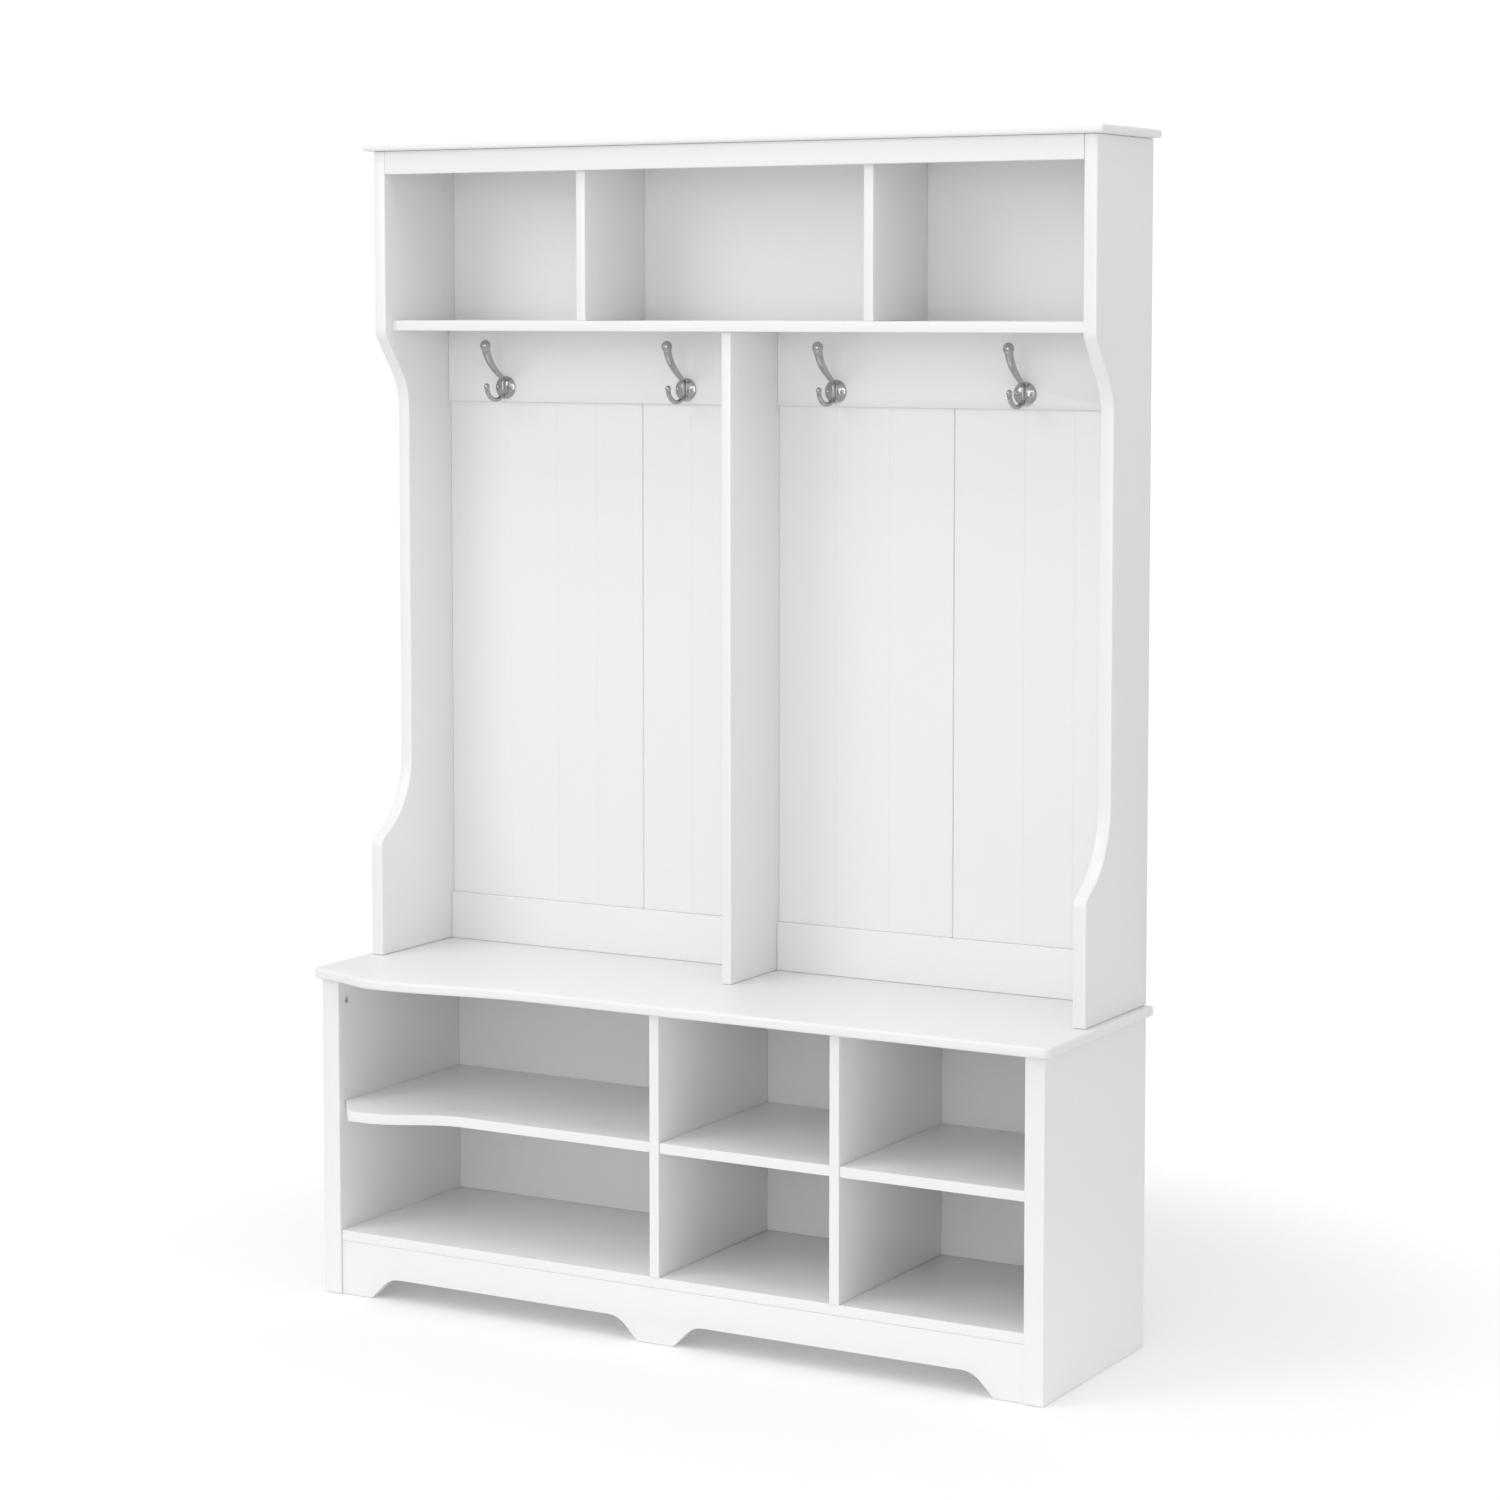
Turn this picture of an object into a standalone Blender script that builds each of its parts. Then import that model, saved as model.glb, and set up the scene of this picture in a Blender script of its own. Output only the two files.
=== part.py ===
"""Hall tree: a storage bench with a coat-hook hutch standing on it.

Frame: metres, +Z up, X along the width, -Y towards the front, origin on the floor under the middle
of the whole object. Every board, hook, screw, cam lock and glide is an object of its own.
"""

import math

import bmesh
import bpy
from mathutils import Vector

# ---- overall sizes -------------------------------------------------------------------------------
WIDTH = 1.200               # over the outer faces of the side boards
DEPTH = 0.340               # bench side boards, front edge to back edge
HEIGHT = 1.738              # floor to the top of the crown board
SEAT_HEIGHT = 0.498         # floor to the top of the bench top
FIT_GAP = 0.0003            # between boards that touch
BACK_RECESS = 0.0065        # back boards sit this far inside the sides' back edges

# ---- boards --------------------------------------------------------------------------------------
BOARD = 0.0155              # painted 15 mm board
BENCH_SIDE_THICKNESS = 0.030
HUTCH_SIDE_THICKNESS = 0.020
SEAT_THICKNESS = 0.015
CROWN_THICKNESS = 0.012
BENCH_BACK_THICKNESS = 0.012
BEADBOARD_THICKNESS = 0.0085
CUBBY_BACK_THICKNESS = 0.003
CUBBY_BACK_RECESS = 0.001

# ---- bench ---------------------------------------------------------------------------------------
PLINTH_HEIGHT = 0.0985      # floor to the top of the bottom board
FRONT_SETBACK = 0.002       # dividers behind the side boards' front edges
SHELF_SETBACK = 0.0035
APRON_SETBACK = 0.004
WIDE_BAY = 0.545            # clear width of the left bay
MIDDLE_BAY = 0.278
BENCH_SHELF_HEIGHT = 0.280  # floor to the underside of the middle shelves
ARCH_HEIGHT = 0.034
ARCH_SLOPE = math.radians(45.0)
ARCH_RADIUS = 0.040
LEFT_FOOT = 0.054
CENTRE_FOOT = 0.060
RIGHT_FOOT = 0.046

# ---- serpentine fronts ---------------------------------------------------------------------------
SEAT_SIDE_OVERHANG = 0.012
SEAT_FRONT_OVERHANG = 0.017
SEAT_BULGE = 0.0315         # extra overhang at the crest of the curve
SEAT_CREST = 0.137          # crest, from the left end of the bench top
SEAT_CREST_LEFT = 0.115     # half length of the swell, left and right of the crest
SEAT_CREST_RIGHT = 0.265
SEAT_CORNER_LEFT = 0.025
SEAT_CORNER_RIGHT = 0.012
SHELF_BULGE = 0.0475
SHELF_CREST = 0.075         # crest, from the left end of the wide shelf
SHELF_CREST_RIGHT = 0.145
SHELF_CLIP_BACK = 0.017     # where the clipped corner meets the left side board
SHELF_CLIP_FORWARD = 0.047  # where it would meet the crest line
SHELF_CORNER = 0.010

# ---- hutch ---------------------------------------------------------------------------------------
WING_SETBACK = 0.150        # upper wing behind the bench front
WAIST_SETBACK = 0.2105
ARM_SETBACK = 0.130
WAIST_TOP_RADII = (0.028, 0.084)
WAIST_TOP_SLOPE = math.radians(36.9)
WAIST_FOOT_RADII = (0.132, 0.020)
WAIST_FOOT_SLOPE = math.radians(61.9)
ARM_HEIGHT = 0.167          # straight stretch of the arm above the bench top
CENTRE_DIVIDER_SETBACK = 0.180
CROWN_OVERHANG = 0.013
CROWN_RAIL_HEIGHT = 0.035
CUBBY_HEIGHT = 0.271        # cubby shelf's underside to the crown's underside
CUBBY_SETBACK = 0.0165      # cubby shelf and dividers behind the wings' front edges
CUBBY_DIVIDER_OFFSET = 0.240
HOOK_RAIL_HEIGHT = 0.110
LOWER_RAIL_HEIGHT = 0.073
WAIST_BLEND = 0.003         # the wing stays straight this far below the cubby shelf's underside

# ---- beadboard: the joint of a bay's two panels and the grooves, from the left of the bay ---------
LEFT_BAY_JOINT = 0.350
RIGHT_BAY_JOINT = 0.290
LEFT_BAY_GROOVES = (0.110, 0.197, 0.268, 0.437)
RIGHT_BAY_GROOVES = (0.098, 0.186, 0.403, 0.482)
GROOVE_WIDTH = 0.0016
GROOVE_DEPTH = 0.0005
JOINT_CHAMFER = 0.0011      # along the face
JOINT_CHAMFER_DEPTH = 0.0020

# ---- coat hooks ----------------------------------------------------------------------------------
LEFT_BAY_HOOKS = (0.107, 0.431)     # from the left of the bay
RIGHT_BAY_HOOKS = (0.099, 0.406)
HOOK_RISE = 0.022           # plate centre above the hook rail's lower edge
PLATE_RADIUS = 0.0175
PLATE_EDGE = 0.0022
PLATE_CROWN = 0.0050        # dome above the edge
RIB_HALF_WIDTH = 0.0036
RIB_HALF_LENGTH = 0.0155
RIB_HALF_DEPTH = 0.0042
RIB_REACH = 0.0052          # rail face to the rib's middle
ARM_RADIUS = 0.0030
UPPER_REACH = 0.056         # rail face to the middle of the upper ball
UPPER_RISE = 0.0655
UPPER_BALL = 0.0078
LOWER_REACH = 0.053
LOWER_BALL = 0.0040
HOOK_DROP = 0.0184          # sets how far the lower arm dips below the plate's centre
UPPER_ROOT = (0.0050, 0.011)    # (reach, rise) where each arm grows out of the plate
LOWER_ROOT = (0.0055, -0.008)
ARM_STEPS = 14

# ---- fasteners -----------------------------------------------------------------------------------
SCREW_OFFSET = 0.0122       # screw axis from the plate's centre
SCREW_RADIUS = 0.0016
SCREW_HEAD_RADIUS = 0.0031
SCREW_HEAD = 0.0016
SCREW_LENGTH = 0.0125
SCREW_CLEARANCE = 0.0003
SCREW_SINK = 0.0006         # head's seat below the plate's domed face
SCREW_SIDES = 16
CAM_RADIUS = 0.0050
CAM_DEPTH = 0.010
CAM_INSET = 0.022           # cam axis from the board's front or back edge
CAM_DROP = 0.035            # cam axis below the bench top's underside
GLIDE_RADIUS = 0.006
GLIDE_HEIGHT = 0.004
GLIDE_PROUD = 0.001
GLIDE_INSET = 0.030
BORE_CLEARANCE = 0.0003

# ---- planes that several boards share ------------------------------------------------------------
TOTAL_DEPTH = DEPTH + SEAT_FRONT_OVERHANG + SEAT_BULGE
BACK = TOTAL_DEPTH / 2
FRONT = BACK - DEPTH
PANEL_BACK = BACK - BACK_RECESS
BENCH_BACK_FACE = PANEL_BACK - BENCH_BACK_THICKNESS
HALF = WIDTH / 2
BENCH_LEFT = -HALF + BENCH_SIDE_THICKNESS
BENCH_RIGHT = HALF - BENCH_SIDE_THICKNESS
HUTCH_LEFT = -HALF + HUTCH_SIDE_THICKNESS
HUTCH_RIGHT = HALF - HUTCH_SIDE_THICKNESS
BASE = GLIDE_PROUD
BENCH_ROOF = SEAT_HEIGHT - SEAT_THICKNESS
BOTTOM_BOARD_BASE = PLINTH_HEIGHT - BOARD
DIVIDER_1 = BENCH_LEFT + WIDE_BAY
DIVIDER_2 = DIVIDER_1 + BOARD + MIDDLE_BAY
CROWN_BASE = HEIGHT - CROWN_THICKNESS
CUBBY_FLOOR_BASE = CROWN_BASE - CUBBY_HEIGHT
CUBBY_FLOOR = CUBBY_FLOOR_BASE + BOARD
CUBBY_FRONT = FRONT + WING_SETBACK + CUBBY_SETBACK
CUBBY_BACK = BACK - CUBBY_BACK_RECESS
CUBBY_BACK_FACE = CUBBY_BACK - CUBBY_BACK_THICKNESS
BEADBOARD_FACE = PANEL_BACK - BEADBOARD_THICKNESS
RAIL_FACE = PANEL_BACK - BOARD
HOOK_RAIL_BASE = CUBBY_FLOOR_BASE - FIT_GAP - HOOK_RAIL_HEIGHT
HOOK_Z = HOOK_RAIL_BASE + HOOK_RISE
CENTRE_LEFT = -BOARD / 2
CENTRE_RIGHT = BOARD / 2
SERPENTINE_STEPS = 28
ARC_STEPS = 10

WHITE = (0.86, 0.86, 0.85)
NICKEL = (0.62, 0.61, 0.59)
ZINC = (0.55, 0.55, 0.56)
NYLON = (0.78, 0.78, 0.76)


# ---- scene and materials -------------------------------------------------------------------------
def clear_scene():
    """Remove every object of the open file."""
    for obj in list(bpy.data.objects):
        bpy.data.objects.remove(obj, do_unlink=True)


def new_collection(name):
    """Return a new collection linked under the scene."""
    collection = bpy.data.collections.new(name)
    bpy.context.scene.collection.children.link(collection)
    return collection


def finish_material(name, colour, roughness, metallic):
    """Return a Principled material with one plain finish."""
    material = bpy.data.materials.new(name)
    material.use_nodes = True
    shader = material.node_tree.nodes["Principled BSDF"]
    shader.inputs["Base Color"].default_value = (*colour, 1.0)
    shader.inputs["Roughness"].default_value = roughness
    shader.inputs["Metallic"].default_value = metallic
    return material


def keep(obj, name, colour=WHITE, roughness=0.35, metallic=0.0):
    """File a finished piece in the object's collection, with a material of its own."""
    obj.name = name
    obj.data.name = name
    obj.data.materials.clear()
    obj.data.materials.append(finish_material(name + "_finish", colour, roughness, metallic))
    move_to(obj, PARTS)
    return obj


def keep_nickel(obj, name):
    """File a piece of the cast hooks or their screws."""
    return keep(obj, name, NICKEL, 0.22, 1.0)


def move_to(obj, collection):
    """Unlink an object everywhere else and link it to one collection."""
    for owner in list(obj.users_collection):
        owner.objects.unlink(obj)
    collection.objects.link(obj)


# ---- shapes --------------------------------------------------------------------------------------
def box(low, high):
    """A primitive cube scaled to the box between two corners, its scale applied."""
    low = Vector(low)
    high = Vector(high)
    bpy.ops.mesh.primitive_cube_add(size=1.0, location=(low + high) / 2)
    obj = bpy.context.active_object
    obj.scale = high - low
    bpy.ops.object.transform_apply(location=False, rotation=False, scale=True)
    return obj


def cylinder(radius, start, end, sides=20):
    """A capped cylinder between two points."""
    start = Vector(start)
    end = Vector(end)
    along = end - start
    bpy.ops.mesh.primitive_cylinder_add(vertices=sides, radius=radius, depth=along.length,
                                        location=(start + end) / 2)
    obj = bpy.context.active_object
    obj.rotation_euler = along.to_track_quat("Z", "Y").to_euler()
    smooth(obj)
    return obj


def smooth(obj):
    """Shade round faces smooth and keep the sharp edges."""
    obj.data.shade_smooth()
    obj.data.set_sharp_from_angle(angle=math.radians(35.0))


def to_mesh(curve):
    """Replace a curve object by its evaluated mesh with welded caps."""
    bpy.context.view_layer.update()
    evaluated = curve.evaluated_get(bpy.context.evaluated_depsgraph_get())
    mesh = bpy.data.meshes.new_from_object(evaluated)
    welder = bmesh.new()
    welder.from_mesh(mesh)
    bmesh.ops.remove_doubles(welder, verts=welder.verts, dist=0.00001)
    welder.to_mesh(mesh)
    welder.free()
    obj = bpy.data.objects.new(curve.name, mesh)
    obj.matrix_world = curve.matrix_world.copy()
    bpy.context.scene.collection.objects.link(obj)
    bpy.data.objects.remove(curve, do_unlink=True)
    return obj


def slab(outline, thickness, location, rotation):
    """Extrude a flat outline by a thickness; the outline lies in the slab's middle plane."""
    data = bpy.data.curves.new("outline", "CURVE")
    data.dimensions = "2D"
    data.fill_mode = "BOTH"
    data.extrude = thickness / 2
    spline = data.splines.new("POLY")
    spline.points.add(len(outline) - 1)
    for point, (u, v) in zip(spline.points, outline):
        point.co = (u, v, 0.0, 1.0)
    spline.use_cyclic_u = True
    curve = bpy.data.objects.new("outline", data)
    curve.location = location
    curve.rotation_euler = rotation
    bpy.context.scene.collection.objects.link(curve)
    return to_mesh(curve)


def plan_slab(outline, base, top):
    """A board whose outline is seen from above."""
    return slab(outline, top - base, (0.0, 0.0, (base + top) / 2), (0.0, 0.0, 0.0))


def side_slab(outline, left, right):
    """A board whose outline (y, z) is seen from the side."""
    return slab(outline, right - left, ((left + right) / 2, 0.0, 0.0),
                (math.radians(90.0), 0.0, math.radians(90.0)))


def front_slab(outline, front, back):
    """A board whose outline (x, z) is seen from the front."""
    return slab(outline, back - front, (0.0, (front + back) / 2, 0.0), (math.radians(90.0), 0.0, 0.0))


def arc(centre, radius, start, end, steps=ARC_STEPS):
    """Points of an arc from one angle to another, both ends included."""
    points = []
    for step in range(steps + 1):
        angle = start + (end - start) * step / steps
        points.append((centre[0] + radius * math.cos(angle), centre[1] + radius * math.sin(angle)))
    return points


def ogee(start, end_u, radii, slope):
    """Points of an S that leaves `start` downwards and runs down again at `end_u`.

    Two arcs are joined by a straight stretch at `slope` from the vertical. The radii shrink
    together where the offset is too small for them.
    """
    offset = abs(end_u - start[0])
    side = math.copysign(1.0, end_u - start[0])
    reach = sum(radii) * (1.0 - math.cos(slope))
    fit = min(1.0, offset / reach)
    first = radii[0] * fit
    second = radii[1] * fit
    straight = max(0.0, offset - reach * fit) / math.sin(slope)
    points = []
    for step in range(ARC_STEPS + 1):
        angle = slope * step / ARC_STEPS
        points.append((start[0] + side * first * (1.0 - math.cos(angle)),
                       start[1] - first * math.sin(angle)))
    height = (first + second) * math.sin(slope) + straight * math.cos(slope)
    foot = start[1] - height
    first_of_second = 0 if straight > 1e-6 else 1
    for step in range(first_of_second, ARC_STEPS + 1):
        angle = slope * (1.0 - step / ARC_STEPS)
        points.append((end_u - side * second * (1.0 - math.cos(angle)),
                       foot + second * math.sin(angle)))
    return points


def ogee_height(offset, radii, slope):
    """Height that `ogee` takes for a sideways offset."""
    reach = sum(radii) * (1.0 - math.cos(slope))
    fit = min(1.0, offset / reach)
    straight = max(0.0, offset - reach * fit) / math.sin(slope)
    return fit * sum(radii) * math.sin(slope) + straight * math.cos(slope)


def swell(distance, length):
    """Height from 1 to 0 of a smooth swell, at a distance from its crest."""
    if distance >= length:
        return 0.0
    return 0.5 * (1.0 + math.cos(math.pi * distance / length))


# ---- cutting and joining -------------------------------------------------------------------------
def cut(obj, cutter):
    """Cut one piece by a solid that stays in the cutters' collection."""
    cutter.hide_render = True
    cutter.display_type = "WIRE"
    cutter.name = obj.name + "_cutter"
    move_to(cutter, CUTTERS)
    modifier = obj.modifiers.new("cut", "BOOLEAN")
    modifier.operation = "DIFFERENCE"
    modifier.solver = "EXACT"
    modifier.object = cutter
    return obj


def union(base, extra):
    """Join a solid into another one with an applied Boolean."""
    modifier = base.modifiers.new("join", "BOOLEAN")
    modifier.operation = "UNION"
    modifier.solver = "EXACT"
    modifier.object = extra
    bpy.context.view_layer.update()
    evaluated = base.evaluated_get(bpy.context.evaluated_depsgraph_get())
    mesh = bpy.data.meshes.new_from_object(evaluated)
    base.modifiers.clear()
    base.data = mesh
    bpy.data.objects.remove(extra, do_unlink=True)
    return base


# ---- bench ---------------------------------------------------------------------------------------
def cam_places(front, back):
    """The two cam axes of a board, near its front and back edges: (y, z)."""
    height = BENCH_ROOF - FIT_GAP - CAM_DROP
    return ((front + CAM_INSET, height), (back - CAM_INSET, height))


def add_cams(board, name, face, towards, front, back):
    """Bore a board's face for its cam locks and set them in; `towards` is +1 when it faces +X."""
    bore = CAM_RADIUS + BORE_CLEARANCE
    bottom = face - towards * (CAM_DEPTH + BORE_CLEARANCE)
    for index, (y, z) in enumerate(cam_places(front, back), start=1):
        cut(board, cylinder(bore, (bottom, y, z), (face + towards * CAM_DEPTH, y, z)))
        cam = cylinder(CAM_RADIUS, (face - towards * CAM_DEPTH, y, z), (face - towards * FIT_GAP, y, z))
        keep(cam, f"cam_lock_{name}_{index}", ZINC, 0.40, 1.0)


def add_glide(board, name, x, y):
    """Bore the underside of a board for a nail-in glide and set the glide in."""
    depth = GLIDE_HEIGHT - GLIDE_PROUD + BORE_CLEARANCE
    cut(board, cylinder(GLIDE_RADIUS + BORE_CLEARANCE, (x, y, BASE - GLIDE_HEIGHT), (x, y, BASE + depth)))
    keep(cylinder(GLIDE_RADIUS, (x, y, 0.0), (x, y, GLIDE_HEIGHT)), name, NYLON, 0.55)


def build_bench_sides():
    """The two thick side boards, with their cam locks and glides."""
    for name, left, right, face, towards in (
            ("left", -HALF, BENCH_LEFT, BENCH_LEFT, 1.0),
            ("right", BENCH_RIGHT, HALF, BENCH_RIGHT, -1.0)):
        board = box((left, FRONT, BASE), (right, BACK, BENCH_ROOF - FIT_GAP))
        keep(board, f"bench_side_{name}")
        add_cams(board, f"side_{name}", face, towards, FRONT, BENCH_BACK_FACE)
        middle = (left + right) / 2
        add_glide(board, f"floor_glide_{name}_front", middle, FRONT + GLIDE_INSET)
        add_glide(board, f"floor_glide_{name}_back", middle, BACK - GLIDE_INSET)


def build_bottom_board():
    """The board that the dividers and the shoes stand on."""
    keep(box((BENCH_LEFT + FIT_GAP, FRONT + APRON_SETBACK, BOTTOM_BOARD_BASE),
             (BENCH_RIGHT - FIT_GAP, PANEL_BACK, PLINTH_HEIGHT)), "bench_bottom_board")


def arch(left, right):
    """Outline of an arched cut between two feet, from the left foot to the right one."""
    flat = ARCH_RADIUS * (1.0 - math.cos(ARCH_SLOPE))
    shoulder = (ARCH_HEIGHT - BASE - flat) / math.tan(ARCH_SLOPE) + ARCH_RADIUS * math.sin(ARCH_SLOPE)
    low = ARCH_HEIGHT - ARCH_RADIUS
    quarter = math.radians(90.0)
    points = [(left, BASE)]
    points += arc((left + shoulder, low), ARCH_RADIUS, quarter + ARCH_SLOPE, quarter)
    points += arc((right - shoulder, low), ARCH_RADIUS, quarter, quarter - ARCH_SLOPE)
    points.append((right, BASE))
    return points


def build_plinth():
    """The arched apron, the rail behind it and the brace between them."""
    left = BENCH_LEFT + FIT_GAP
    right = BENCH_RIGHT - FIT_GAP
    top = BOTTOM_BOARD_BASE - FIT_GAP
    foot_middle = DIVIDER_1 + BOARD / 2
    outline = [(left, top), (left, BASE)]
    outline += arch(BENCH_LEFT + LEFT_FOOT, foot_middle - CENTRE_FOOT / 2)
    outline += arch(foot_middle + CENTRE_FOOT / 2, BENCH_RIGHT - RIGHT_FOOT)
    outline += [(right, BASE), (right, top)]
    front = FRONT + APRON_SETBACK
    apron = keep(front_slab(outline, front, front + BOARD), "bench_apron")
    add_glide(apron, "floor_glide_centre_front", foot_middle, front + BOARD / 2)
    rail_front = PANEL_BACK - BOARD
    rail = keep(box((left, rail_front, BASE), (right, PANEL_BACK, top)), "bench_rear_plinth_rail")
    add_glide(rail, "floor_glide_centre_back", foot_middle, rail_front + BOARD / 2)
    keep(box((foot_middle - BOARD / 2, front + BOARD + FIT_GAP, ARCH_HEIGHT),
             (foot_middle + BOARD / 2, rail_front - FIT_GAP, top)), "bench_plinth_brace")


def build_bench_back():
    """The board that closes the back of the bays."""
    keep(box((BENCH_LEFT + FIT_GAP, BENCH_BACK_FACE, PLINTH_HEIGHT + FIT_GAP),
             (BENCH_RIGHT - FIT_GAP, PANEL_BACK, BENCH_ROOF - FIT_GAP)), "bench_back_panel")


def build_bench_dividers():
    """The two full-height dividers, with cam locks in their left faces."""
    front = FRONT + FRONT_SETBACK
    back = BENCH_BACK_FACE - FIT_GAP
    for name, left in (("left", DIVIDER_1), ("right", DIVIDER_2)):
        board = box((left, front, PLINTH_HEIGHT + FIT_GAP), (left + BOARD, back, BENCH_ROOF - FIT_GAP))
        keep(board, f"bench_divider_{name}")
        add_cams(board, f"divider_{name}", left, -1.0, front, back)


def wide_shelf_outline(left, right, back):
    """Plan of the wide shelf: clipped left corner, swell, then straight to the divider."""
    crest_y = FRONT + SHELF_SETBACK - SHELF_BULGE
    clip = Vector((left, FRONT + SHELF_CLIP_BACK))
    tip = Vector((left + SHELF_CLIP_FORWARD, crest_y))
    into = (clip - tip).normalized()
    turn = math.pi - into.angle(Vector((1.0, 0.0)))
    tangent = SHELF_CORNER * math.tan(turn / 2)
    centre = (tip.x + tangent, crest_y + SHELF_CORNER)
    straight_down = -math.pi / 2
    outline = [(left, back), tuple(clip)]
    outline += arc(centre, SHELF_CORNER, straight_down - turn, straight_down)
    crest_x = left + SHELF_CREST
    for step in range(SERPENTINE_STEPS + 1):
        along = SHELF_CREST_RIGHT * step / SERPENTINE_STEPS
        outline.append((crest_x + along,
                        FRONT + SHELF_SETBACK - SHELF_BULGE * swell(along, SHELF_CREST_RIGHT)))
    outline += [(right, FRONT + SHELF_SETBACK), (right, back)]
    return outline


def build_bench_shelves():
    """The three fixed middle shelves; the wide one has the serpentine front."""
    base = BENCH_SHELF_HEIGHT
    top = base + BOARD
    back = BENCH_BACK_FACE - FIT_GAP
    wide = plan_slab(wide_shelf_outline(BENCH_LEFT + FIT_GAP, DIVIDER_1 - FIT_GAP, back), base, top)
    keep(wide, "bench_shelf_wide")
    front = FRONT + SHELF_SETBACK
    for name, left, right in (("middle", DIVIDER_1 + BOARD, DIVIDER_2),
                              ("right", DIVIDER_2 + BOARD, BENCH_RIGHT)):
        keep(box((left + FIT_GAP, front, base), (right - FIT_GAP, back, top)), f"bench_shelf_{name}")


def seat_outline():
    """Plan of the bench top: round front corners and a serpentine front."""
    left = -HALF - SEAT_SIDE_OVERHANG
    right = HALF + SEAT_SIDE_OVERHANG
    front = FRONT - SEAT_FRONT_OVERHANG
    crest_x = left + SEAT_CREST
    half_turn = math.pi
    down = -math.pi / 2
    outline = [(right, BACK), (left, BACK)]
    outline += arc((left + SEAT_CORNER_LEFT, front + SEAT_CORNER_LEFT), SEAT_CORNER_LEFT, -half_turn, down)
    for step in range(1, SERPENTINE_STEPS):
        along = SEAT_CREST_LEFT * (1.0 - step / SERPENTINE_STEPS)
        if crest_x - along > left + SEAT_CORNER_LEFT:
            outline.append((crest_x - along, front - SEAT_BULGE * swell(along, SEAT_CREST_LEFT)))
    for step in range(SERPENTINE_STEPS + 1):
        along = SEAT_CREST_RIGHT * step / SERPENTINE_STEPS
        outline.append((crest_x + along, front - SEAT_BULGE * swell(along, SEAT_CREST_RIGHT)))
    outline += arc((right - SEAT_CORNER_RIGHT, front + SEAT_CORNER_RIGHT), SEAT_CORNER_RIGHT, down, 0.0)
    return outline


def build_bench_top():
    """The seat board."""
    keep(plan_slab(seat_outline(), BENCH_ROOF, SEAT_HEIGHT), "bench_top")


# ---- hutch ---------------------------------------------------------------------------------------
def hutch_side_outline():
    """Side view of a hutch side: deep wing, waist, and the arm that stands on the bench top."""
    base = SEAT_HEIGHT + FIT_GAP
    top = CROWN_BASE - FIT_GAP
    wing = FRONT + WING_SETBACK
    waist = FRONT + WAIST_SETBACK
    arm = FRONT + ARM_SETBACK
    foot_curve = ogee_height(WAIST_SETBACK - ARM_SETBACK, WAIST_FOOT_RADII, WAIST_FOOT_SLOPE)
    outline = [(BACK, base), (BACK, top), (wing, top)]
    outline += ogee((wing, CUBBY_FLOOR_BASE + WAIST_BLEND), waist, WAIST_TOP_RADII, WAIST_TOP_SLOPE)
    outline += ogee((waist, SEAT_HEIGHT + ARM_HEIGHT + foot_curve), arm, WAIST_FOOT_RADII, WAIST_FOOT_SLOPE)
    outline.append((arm, base))
    return outline


def build_hutch_sides():
    """The two shaped side boards."""
    outline = hutch_side_outline()
    keep(side_slab(outline, -HALF, HUTCH_LEFT), "hutch_side_left")
    keep(side_slab(outline, HUTCH_RIGHT, HALF), "hutch_side_right")


def build_hutch_dividers():
    """The post between the two coat bays and the two dividers of the cubbies."""
    keep(box((CENTRE_LEFT, FRONT + CENTRE_DIVIDER_SETBACK, SEAT_HEIGHT + FIT_GAP),
             (CENTRE_RIGHT, PANEL_BACK, CUBBY_FLOOR_BASE - FIT_GAP)), "hutch_centre_divider")
    for name, middle in (("left", -CUBBY_DIVIDER_OFFSET), ("right", CUBBY_DIVIDER_OFFSET)):
        keep(box((middle - BOARD / 2, CUBBY_FRONT, CUBBY_FLOOR + FIT_GAP),
                 (middle + BOARD / 2, CUBBY_BACK_FACE - FIT_GAP, CROWN_BASE - FIT_GAP)),
             f"cubby_divider_{name}")


def build_cubby():
    """The cubby shelf, its thin back and the rail under the crown."""
    left = HUTCH_LEFT + FIT_GAP
    right = HUTCH_RIGHT - FIT_GAP
    keep(box((left, CUBBY_FRONT, CUBBY_FLOOR_BASE), (right, CUBBY_BACK, CUBBY_FLOOR)), "cubby_shelf")
    keep(box((left, CUBBY_BACK_FACE, CUBBY_FLOOR + FIT_GAP), (right, CUBBY_BACK, CROWN_BASE - FIT_GAP)),
         "cubby_back_panel")
    front = FRONT + WING_SETBACK
    keep(box((left, front, CROWN_BASE - CROWN_RAIL_HEIGHT),
             (right, CUBBY_FRONT - FIT_GAP, CROWN_BASE - FIT_GAP)), "crown_rail")


def build_crown():
    """The top board, which overhangs at the sides and the front."""
    keep(box((-HALF - CROWN_OVERHANG, FRONT + WING_SETBACK - CROWN_OVERHANG, CROWN_BASE),
             (HALF + CROWN_OVERHANG, BACK, HEIGHT)), "crown_board")


def beadboard_outline(left, right, grooves, chamfer_left, chamfer_right):
    """Plan of a grooved panel; grooves and joint chamfers are open towards the front."""
    outline = [(right, PANEL_BACK), (left, PANEL_BACK)]
    outline.append((left, BEADBOARD_FACE + (JOINT_CHAMFER_DEPTH if chamfer_left else 0.0)))
    if chamfer_left:
        outline.append((left + JOINT_CHAMFER, BEADBOARD_FACE))
    for middle in grooves:
        outline += [(middle - GROOVE_WIDTH / 2, BEADBOARD_FACE), (middle, BEADBOARD_FACE + GROOVE_DEPTH),
                    (middle + GROOVE_WIDTH / 2, BEADBOARD_FACE)]
    if chamfer_right:
        outline.append((right - JOINT_CHAMFER, BEADBOARD_FACE))
    outline.append((right, BEADBOARD_FACE + (JOINT_CHAMFER_DEPTH if chamfer_right else 0.0)))
    return outline


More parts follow.
